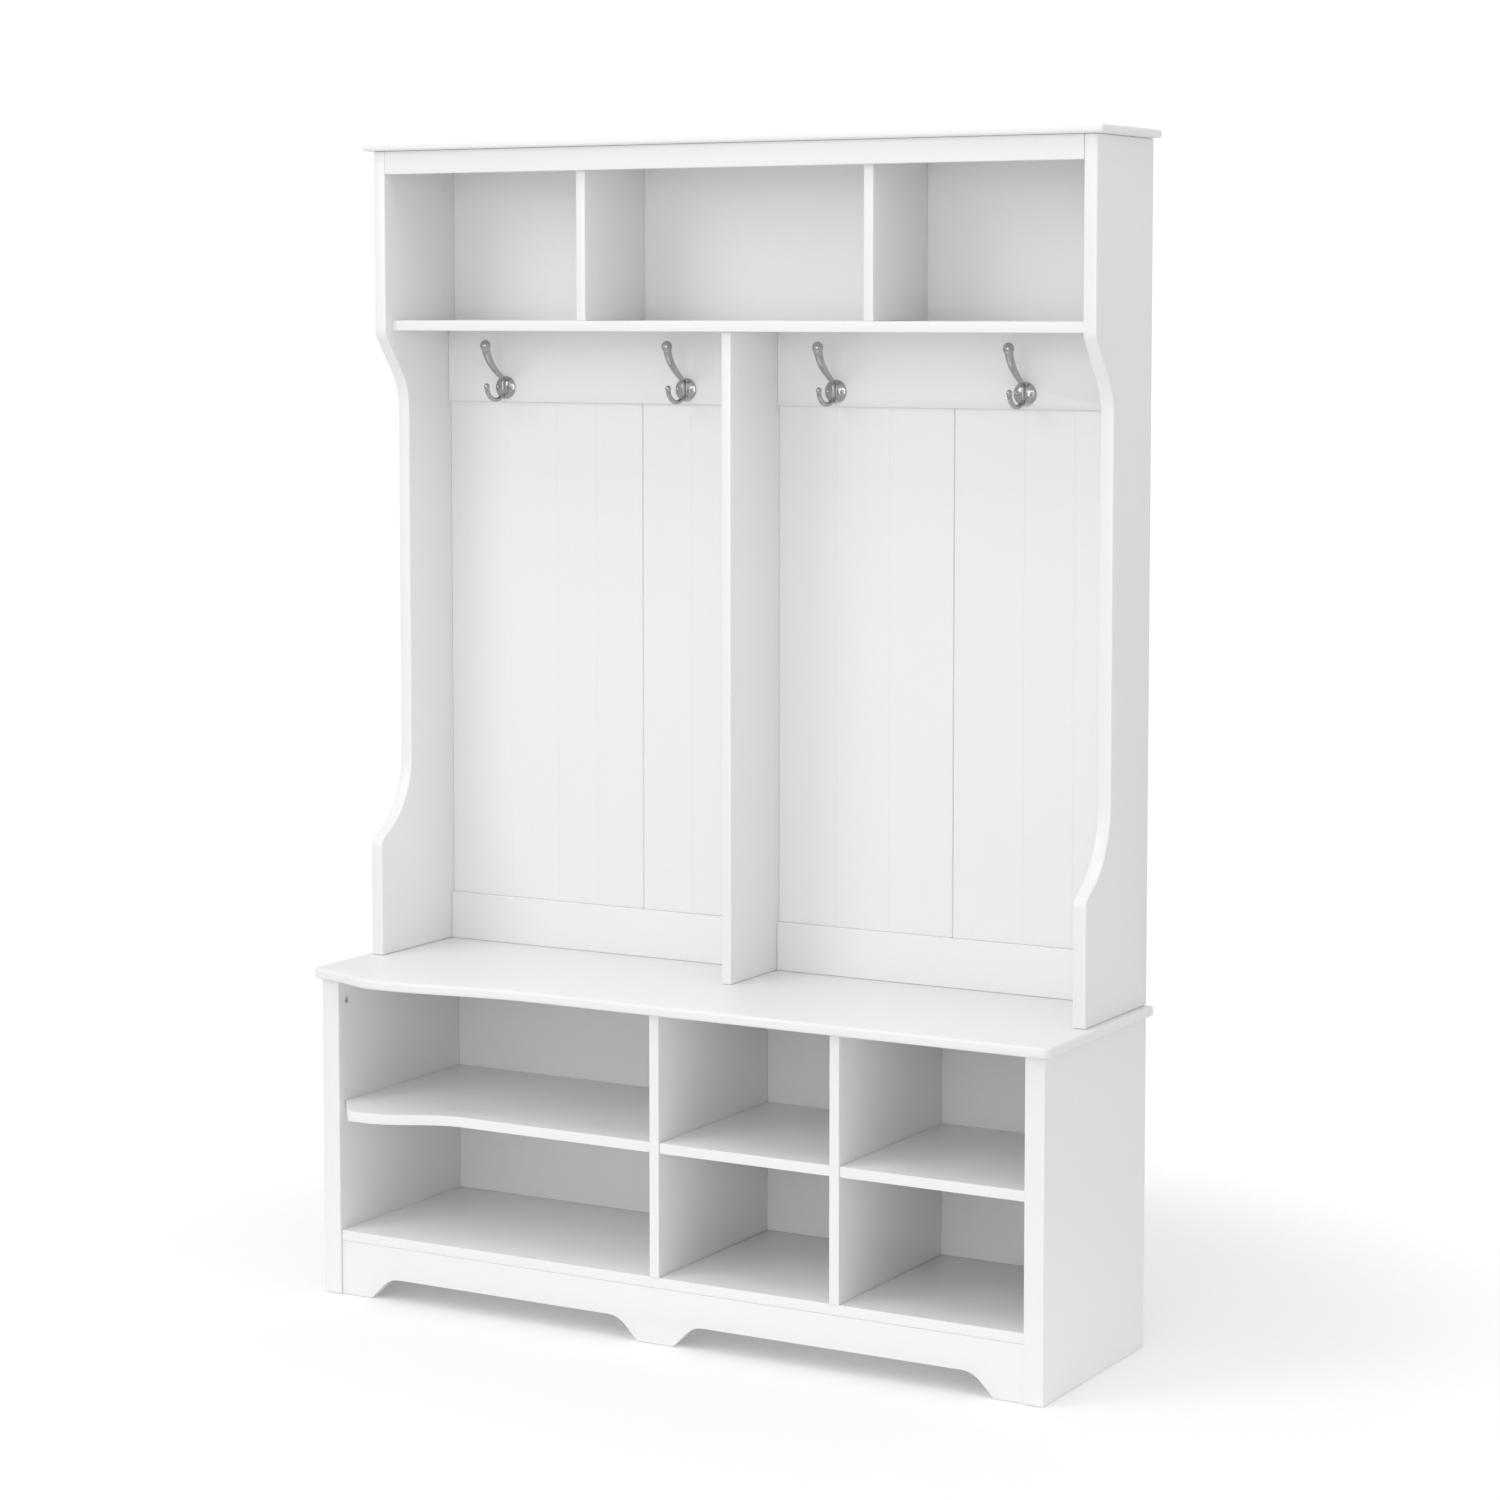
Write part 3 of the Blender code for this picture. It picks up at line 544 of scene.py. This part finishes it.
@dataclass
class Bench:
    """The shoe bench: thick sides, bays, plinth and the serpentine top."""

    shop: BoardShop
    side_easing: Easing = Easing(0.0015, 3, 0.003)
    divider_easing: Easing = Easing(0.0011, 3, 0.003)
    shelf_easing: Easing = Easing(0.0013, 3)
    plinth_easing: Easing = Easing(0.0004, 2, 0.0025)
    seat_easing: Easing = Easing(0.0042, 5)

    def build_carcass(self) -> None:
        """Sides, dividers and the hidden boards."""
        for side in ("left", "right"):
            self.shop.eased(f"bench_side_{side}", self.side_easing)
            self.shop.eased(f"bench_divider_{side}", self.divider_easing)
        for node in ("bench_back_panel", "bench_plinth_brace", "bench_rear_plinth_rail"):
            self.shop.carried(node)

    def build_shelves(self) -> None:
        """The middle shelves and the plinth with its bottom board."""
        for bay in ("wide", "middle", "right"):
            self.shop.eased(f"bench_shelf_{bay}", self.shelf_easing)
        self.shop.eased("bench_bottom_board", self.plinth_easing)
        self.shop.eased("bench_apron", self.plinth_easing)

    def build_seat(self) -> None:
        """The serpentine bench top with its softly rounded edge."""
        self.shop.eased("bench_top", self.seat_easing)

    def build(self) -> None:
        """Finish the whole bench."""
        self.build_carcass()
        self.build_shelves()
        self.build_seat()


@dataclass
class Hutch:
    """The hutch: shaped sides, coat bays, cubbies and the crown."""

    shop: BoardShop
    side_easing: Easing = Easing(0.0016, 3)
    board_easing: Easing = Easing(0.0010, 3)
    rail_easing: Easing = Easing(0.0008, 3, 0.003)
    crown_easing: Easing = Easing(0.0038, 5)

    def build_sides(self) -> None:
        """The shaped sides and the post between the coat bays."""
        for side in ("left", "right"):
            self.shop.eased(f"hutch_side_{side}", self.side_easing)
        self.shop.eased("hutch_centre_divider", self.board_easing)

    def build_bays(self) -> None:
        """Rails and beadboards of the coat bays."""
        for side in ("left", "right"):
            self.shop.eased(f"hook_rail_{side}", self.rail_easing)
            self.shop.eased(f"lower_rail_{side}", self.rail_easing)
            for panel in (1, 2):
                self.shop.carried(f"beadboard_{side}_{panel}")

    def build_cubbies(self) -> None:
        """Cubby shelf, dividers, back and the rail under the crown."""
        for node in ("cubby_shelf", "cubby_divider_left", "cubby_divider_right", "crown_rail"):
            self.shop.eased(node, self.board_easing)
        self.shop.carried("cubby_back_panel")

    def build(self) -> None:
        """Finish the whole hutch."""
        self.build_sides()
        self.build_bays()
        self.build_cubbies()
        self.shop.eased("crown_board", self.crown_easing)


# ---- coat hooks ----------------------------------------------------------------------------------
@dataclass(frozen=True)
class ArmShape:
    """One arm of a hook, as (reach, rise) pairs from the plate's centre on the rail."""

    start: tuple[float, float]
    start_handle: tuple[float, float]
    end_handle: tuple[float, float]
    end: tuple[float, float]
    root_radius: float
    neck_radius: float
    swell_radius: float
    swell_from: float
    knob_radius: float
    knob_stretch: float


UPPER_ARM = ArmShape(start=(0.0045, 0.010), start_handle=(0.021, 0.023), end_handle=(0.050, 0.034),
                     end=(0.0565, 0.0650), root_radius=0.0034, neck_radius=0.0025, swell_radius=0.0066,
                     swell_from=0.78, knob_radius=0.0081, knob_stretch=1.12)
LOWER_ARM = ArmShape(start=(0.0055, -0.008), start_handle=(0.022, -0.0265), end_handle=(0.052, -0.0185),
                     end=(0.053, 0.0025), root_radius=0.0035, neck_radius=0.0028, swell_radius=0.0036,
                     swell_from=0.78, knob_radius=0.0043, knob_stretch=1.15)


@dataclass
class CoatHooks:
    """The four cast double hooks, made once and set in their four places."""

    paint: PaintBox
    names: tuple[str, ...] = ("left_1", "left_2", "right_1", "right_2")
    plate_radius: float = 0.0175
    plate_edge: float = 0.0020
    plate_crown: float = 0.0046
    rib_half: Point = (0.0034, 0.0056, 0.0160)
    rib_reach: float = 0.0056
    voxel: float = 0.00040
    fillet_passes: int = 3
    plate_steps: int = 64
    dome_steps: int = 9
    arm_steps: int = 48
    ring_steps: int = 24
    ball_steps: int = 32
    ball_rings: int = 20
    taper_power: float = 0.6
    swell_power: float = 2.0

    def arm_tree(self) -> PieceTree:
        """Return the tree that sweeps a tapering bar and puts a knob on its end."""
        tree = PieceTree("cast_arm")
        points = {name: tree.take(name, "Vector") for name in ("Start", "Start Handle", "End Handle", "End")}
        radii = {name: tree.take(name, "Float") for name in
                 ("Root Radius", "Neck Radius", "Swell Radius", "Swell From", "Knob Radius", "Knob Stretch")}
        finish = tree.take("Finish", "Material")
        path = tree.node("GeometryNodeCurvePrimitiveBezierSegment", {"mode": "POSITION"},
                         {"Resolution": self.arm_steps, **points})
        along = tree.node("GeometryNodeSplineParameter", output="Factor")
        swell = tree.node("ShaderNodeMapRange", {"interpolation_type": "SMOOTHSTEP"},
                          {"Value": along, "From Min": radii["Swell From"], "From Max": 1.0})
        thinning = radii["Neck Radius"] - radii["Root Radius"]
        taper = radii["Root Radius"] + thinning * (along ** self.taper_power)
        girth = taper + (radii["Swell Radius"] - radii["Neck Radius"]) * (swell ** self.swell_power)
        ring = tree.node("GeometryNodeCurvePrimitiveCircle", None,
                         {"Resolution": self.ring_steps, "Radius": 1.0})
        swept = tree.node("GeometryNodeCurveToMesh", None,
                          {"Curve": path, "Profile Curve": ring, "Scale": girth, "Fill Caps": True})
        ball = tree.node("GeometryNodeMeshUVSphere", None,
                         {"Segments": self.ball_steps, "Rings": self.ball_rings, "Radius": 1.0})
        height = radii["Knob Radius"] * radii["Knob Stretch"]
        size = tree.node("ShaderNodeCombineXYZ", None,
                         {"X": radii["Knob Radius"], "Y": radii["Knob Radius"], "Z": height})
        knob = tree.node("GeometryNodeTransform", None,
                         {"Geometry": ball, "Translation": points["End"], "Scale": size})
        joined = tree.node("GeometryNodeJoinGeometry")
        for part in (swept, knob):
            tree.feed(joined.socket.node.inputs[0], part)
        tree.give(joined, finish)
        return tree

    def arm(self, tree: PieceTree, shape: ArmShape) -> bpy.types.Object:
        """Bake one arm, with the rail's face at y = 0 and the plate's centre at z = 0."""
        pairs = {"Start": shape.start, "Start Handle": shape.start_handle,
                 "End Handle": shape.end_handle, "End": shape.end}
        values: dict[str, Any] = {key: (0.0, -reach, rise) for key, (reach, rise) in pairs.items()}
        values |= {"Root Radius": shape.root_radius, "Neck Radius": shape.neck_radius,
                   "Swell Radius": shape.swell_radius, "Swell From": shape.swell_from,
                   "Knob Radius": shape.knob_radius, "Knob Stretch": shape.knob_stretch,
                   "Finish": self.paint.nickel}
        return tree.bake("arm", bpy.data.meshes.new("arm"), values)

    def plate(self) -> bpy.types.Object:
        """The domed round plate with its raised spine, facing -Y."""
        shape = bmesh.new()
        dome = (self.plate_radius ** 2 + self.plate_crown ** 2) / (2 * self.plate_crown)
        edge = math.asin(self.plate_radius / dome)
        profile = [(0.0, 0.0), (self.plate_radius, 0.0), (self.plate_radius, self.plate_edge)]
        for step in range(1, self.dome_steps):
            angle = edge * (1.0 - step / self.dome_steps)
            height = self.plate_edge + self.plate_crown - dome * (1.0 - math.cos(angle))
            profile.append((dome * math.sin(angle), height))
        profile.append((0.0, self.plate_edge + self.plate_crown))
        lathe(shape, profile, self.plate_steps)
        bmesh.ops.rotate(shape, cent=(0, 0, 0), matrix=Matrix.Rotation(math.radians(90.0), 3, "X"),
                         verts=shape.verts)
        spine = bmesh.ops.create_uvsphere(shape, u_segments=self.ball_steps, v_segments=self.ball_rings,
                                          radius=1.0)["verts"]
        bmesh.ops.scale(shape, vec=self.rib_half, verts=spine)
        bmesh.ops.translate(shape, vec=(0.0, -self.rib_reach, 0.0), verts=spine)
        return mesh_object("plate", shape)

    def casting(self) -> bpy.types.Mesh:
        """Fuse plate, spine and arms into one skin with soft fillets, as a casting has."""
        tree = self.arm_tree()
        pieces = [self.plate(), self.arm(tree, UPPER_ARM), self.arm(tree, LOWER_ARM)]
        shape = bmesh.new()
        for piece in pieces:
            shape.from_mesh(piece.data)
            bpy.data.objects.remove(piece, do_unlink=True)
        fused = mesh_object("casting", shape)
        remesh = fused.modifiers.new("skin", "REMESH")
        remesh.mode = "VOXEL"
        remesh.voxel_size = self.voxel
        fillet = fused.modifiers.new("fillet", "SMOOTH")
        fillet.factor = 0.5
        fillet.iterations = self.fillet_passes
        bake_modifiers(fused)
        mesh = fused.data
        bpy.data.objects.remove(fused, do_unlink=True)
        return mesh

    def place(self, name: str) -> Point:
        """The rail-face point behind the plate's centre of one hook."""
        low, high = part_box(f"coat_hook_{name}")
        rail_face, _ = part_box("hook_rail_left")
        rise = self.drop_below_centre()
        return ((low[0] + high[0]) / 2, rail_face[1], low[2] + rise)

    def drop_below_centre(self) -> float:
        """How far the hook's lowest point lies below the plate's centre, read from its screws."""
        low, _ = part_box("coat_hook_left_1")
        screw_low, screw_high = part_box("hook_screw_left_1_left")
        return (screw_low[2] + screw_high[2]) / 2 - low[2]

    def build(self) -> None:
        """Set a copy of the casting in each hook's place."""
        master = self.casting()
        for name in self.names:
            mesh = master.copy()
            mesh.transform(Matrix.Translation(self.place(name)))
            hook = link(bpy.data.objects.new(f"coat_hook_{name}_casting", mesh))
            mesh.shade_smooth()
            dress(hook, self.paint.nickel)
            settle(hook, [f"coat_hook_{name}"])
        bpy.data.meshes.remove(master)


# ---- hardware ------------------------------------------------------------------------------------
@dataclass(frozen=True)
class Seat:
    """A place for one piece of hardware: the middle of its face and the way it faces."""

    point: Point
    facing: Point


@dataclass
class Hardware:
    """Screws, cam locks and glides: each face is made once and set on its places by a tree."""

    paint: PaintBox
    seed: int = 7
    round_steps: int = 32
    slot_turn: float = math.radians(50.0)
    cam_sink: float = 0.0008

    def scatter_tree(self) -> PieceTree:
        """Return the tree that sets a piece on points, facing out and turned by chance."""
        tree = PieceTree("hardware_row")
        piece = tree.take("Piece", "Object")
        turn = tree.take("Largest Turn", "Float")
        seed = tree.take("Seed", "Int")
        finish = tree.take("Finish", "Material")
        source = tree.node("GeometryNodeObjectInfo", {"transform_space": "ORIGINAL"}, {"Object": piece},
                           "Geometry")
        facing = tree.node("GeometryNodeInputNamedAttribute", {"data_type": "FLOAT_VECTOR"},
                           {"Name": "facing"})
        upright = tree.node("FunctionNodeAlignRotationToVector", {"axis": "Z"}, {"Vector": facing})
        placed = tree.node("GeometryNodeInstanceOnPoints", None,
                           {"Points": Wire(tree, tree.entry.outputs[0]), "Instance": source,
                            "Rotation": upright})
        chance = tree.node("FunctionNodeRandomValue", {"data_type": "FLOAT"},
                           {2: 0.0 - turn, 3: turn, "Seed": seed}, 1)
        angle = tree.node("ShaderNodeCombineXYZ", None, {"Z": chance})
        turned = tree.node("GeometryNodeRotateInstances", None,
                           {"Instances": placed, "Rotation": angle, "Local Space": True})
        tree.give(turned, finish)
        return tree

    @staticmethod
    def points(seats: Sequence[Seat]) -> bpy.types.Mesh:
        """Return a mesh of loose points that carry their facing."""
        mesh = bpy.data.meshes.new("seats")
        mesh.from_pydata([seat.point for seat in seats], [], [])
        facing = mesh.attributes.new("facing", "FLOAT_VECTOR", "POINT")
        for item, seat in zip(facing.data, seats):
            item.vector = seat.facing
        return mesh

    def cross_cut(self, piece: bpy.types.Object, width: float, span: float, depth: float) -> None:
        """Sink a cross recess into the +Z face of a turned piece, whose face is at z = 0.

        Args:
            piece: The turned piece.
            width: Width of each slot.
            span: Length of each slot.
            depth: Depth below the face.
        """
        for name, size in (("slot_x", (span, width)), ("slot_y", (width, span))):
            shape = bmesh.new()
            bmesh.ops.create_cube(shape, size=1.0)
            bmesh.ops.scale(shape, vec=(size[0], size[1], depth * 2), verts=shape.verts)
            cutter = mesh_object(name, shape)
            cut = piece.modifiers.new(name, "BOOLEAN")
            cut.operation = "DIFFERENCE"
            cut.solver = "EXACT"
            cut.object = cutter
            bake_modifiers(piece)
            bpy.data.objects.remove(cutter, do_unlink=True)

    def screw_head(self) -> bpy.types.Object:
        """A pan head with a cross recess on a short shank; the head's crown is at z = 0."""
        shape = bmesh.new()
        lathe(shape, ((0.0, -0.0135), (0.0012, -0.0125), (0.0016, -0.0110), (0.0016, -0.0021),
                      (0.0031, -0.0019), (0.0031, -0.0012), (0.0027, -0.0005), (0.0018, -0.0001),
                      (0.0, 0.0)), self.round_steps)
        piece = mesh_object("screw_head", shape)
        self.cross_cut(piece, width=0.0008, span=0.0034, depth=0.0012)
        return piece

    def cam_face(self) -> bpy.types.Object:
        """A cam lock's face: a raised rim round a sunk disc with a deep cross slot."""
        shape = bmesh.new()
        lathe(shape, ((0.0, -0.0085), (0.0050, -0.0085), (0.0050, -0.0002), (0.0047, 0.0),
                      (0.0042, 0.0), (0.0040, -0.0006), (0.0, -0.0006)), self.round_steps)
        piece = mesh_object("cam_face", shape)
        self.cross_cut(piece, width=0.0011, span=0.0060, depth=0.0018)
        return piece

    def glide(self) -> bpy.types.Object:
        """A nail-in glide, its rounded foot at z = 0."""
        shape = bmesh.new()
        lathe(shape, ((0.0, -0.0040), (0.0060, -0.0040), (0.0060, -0.0008), (0.0056, -0.0002),
                      (0.0048, 0.0), (0.0, 0.0)), self.round_steps)
        return mesh_object("glide", shape)

    def scatter(self, name: str, piece: bpy.types.Object, seats: Sequence[Seat],
                finish: bpy.types.Material, nodes: Sequence[str]) -> None:
        smooth_by_angle(piece)
        values = {"Piece": piece, "Largest Turn": self.slot_turn, "Seed": self.seed, "Finish": finish}
        row = self.scatter_tree().bake(name, self.points(seats), values)
        bpy.data.objects.remove(piece, do_unlink=True)
        settle(row, nodes)

    def build_screws(self, hooks: Sequence[str]) -> None:
        """The two screws of each hook."""
        nodes = [f"hook_screw_{hook}_{side}" for hook in hooks for side in ("left", "right")]
        seats = []
        for node in nodes:
            low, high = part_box(node)
            seats.append(Seat(((low[0] + high[0]) / 2, low[1], (low[2] + high[2]) / 2), (0.0, -1.0, 0.0)))
        self.scatter("hook_screws", self.screw_head(), seats, self.paint.nickel, nodes)

    def build_cams(self) -> None:
        """The cam locks under the bench top; those of the left side face right, the others their own way."""
        nodes = [f"cam_lock_{board}_{side}_{place}" for board in ("side", "divider")
                 for side in ("left", "right") for place in (1, 2)]
        seats = []
        for node in nodes:
            low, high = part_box(node)
            towards = 1.0 if node.startswith("cam_lock_side_left") else -1.0
            face = (high if towards > 0.0 else low)[0] - towards * self.cam_sink
            seats.append(Seat((face, (low[1] + high[1]) / 2, (low[2] + high[2]) / 2), (towards, 0.0, 0.0)))
        self.scatter("cam_locks", self.cam_face(), seats, self.paint.zinc, nodes)

    def build_glides(self) -> None:
        """The glides under the sides, the apron's middle foot and the rear rail."""
        nodes = [f"floor_glide_{where}_{end}" for where in ("left", "centre", "right")
                 for end in ("front", "back")]
        seats = []
        for node in nodes:
            low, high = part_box(node)
            seats.append(Seat(((low[0] + high[0]) / 2, (low[1] + high[1]) / 2, low[2]), (0.0, 0.0, -1.0)))
        self.scatter("floor_glides", self.glide(), seats, self.paint.nylon, nodes)

    def build(self, hooks: Sequence[str]) -> None:
        """Finish all hardware."""
        self.build_screws(hooks)
        self.build_cams()
        self.build_glides()


# ---- studio --------------------------------------------------------------------------------------
@dataclass(frozen=True)
class SoftBox:
    """One rectangular studio light."""

    name: str
    place: Point
    aim: Point
    width: float
    height: float
    power: float

    def build(self) -> None:
        """Hang the light and aim it."""
        data = bpy.data.lights.new(self.name, "AREA")
        data.shape = "RECTANGLE"
        data.size = self.width
        data.size_y = self.height
        data.energy = self.power
        lamp = link(bpy.data.objects.new(self.name, data))
        lamp.location = self.place
        lamp.rotation_euler = (Vector(self.aim) - Vector(self.place)).to_track_quat("-Z", "Y").to_euler()


@dataclass
class Studio:
    """Floor, lights and the camera."""

    paint: PaintBox
    floor_half: float = 30.0
    sky: float = 0.70
    backdrop: float = 1.05
    camera_place: Point = (2.6684, -4.5859, 1.4883)
    camera_turn: float = math.radians(29.634)
    camera_dip: float = math.radians(4.537)
    lens: float = 88.12
    sensor: float = 36.0
    lens_shift: float = -0.10
    lights: tuple[SoftBox, ...] = (
        SoftBox("key", (-2.6, -3.6, 3.2), (0.0, 0.0, 0.8), 2.4, 2.4, 45.0),
        SoftBox("front_fill", (1.2, -5.2, 1.6), (0.0, 0.0, 0.9), 3.0, 2.4, 40.0),
        SoftBox("top", (0.0, -0.8, 4.2), (0.0, 0.0, 0.0), 3.0, 2.2, 32.0),
        SoftBox("right_fill", (4.2, -0.6, 1.8), (0.0, 0.0, 0.9), 2.4, 2.4, 11.0),
    )

    def build_floor(self) -> None:
        """A pale floor under the bench, far larger than the view."""
        shape = bmesh.new()
        half = self.floor_half
        corners = [shape.verts.new((x, y, 0.0)) for x, y in
                   ((-half, -half), (half, -half), (half, half), (-half, half))]
        shape.faces.new(corners)
        floor = mesh_object("studio_floor", shape)
        dress(floor, self.paint.paper)

    def build_sky(self) -> None:
        """Even white light from all round, with a brighter backdrop behind the object."""
        world = bpy.data.worlds.new("studio_air")
        world.use_nodes = True
        graph = NodeGraph(world.node_tree)
        seen = graph.node("ShaderNodeLightPath", output="Is Camera Ray")
        background = world.node_tree.nodes["Background"]
        background.inputs["Color"].default_value = (1.0, 1.0, 1.0, 1.0)
        graph.feed(background.inputs["Strength"], self.sky + seen * (self.backdrop - self.sky))
        bpy.context.scene.world = world

    def build_camera(self) -> None:
        """The camera, looking down a little from the front right."""
        data = bpy.data.cameras.new("camera")
        data.lens = self.lens
        data.sensor_width = self.sensor
        data.shift_y = self.lens_shift
        camera = link(bpy.data.objects.new("camera", data))
        level = math.cos(self.camera_dip)
        ahead = Vector((-math.sin(self.camera_turn) * level, math.cos(self.camera_turn) * level,
                        -math.sin(self.camera_dip)))
        camera.location = self.camera_place
        camera.rotation_euler = ahead.to_track_quat("-Z", "Y").to_euler()
        bpy.context.scene.camera = camera

    def build(self) -> None:
        """Set up the whole studio."""
        self.build_camera()
        self.build_floor()
        self.build_sky()
        for light in self.lights:
            light.build()
        bpy.context.scene.view_settings.view_transform = "Standard"


def main() -> None:
    """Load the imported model, finish every sub-assembly and set up the studio."""
    logging.basicConfig(level=logging.INFO, format="%(name)s: %(message)s")
    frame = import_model()
    paint = PaintBox()
    Studio(paint).build()
    shop = BoardShop(frame["nodes"], paint)
    Bench(shop).build()
    Hutch(shop).build()
    hooks = CoatHooks(paint)
    hooks.build()
    Hardware(paint).build(hooks.names)


if __name__ == "__main__":
    main()
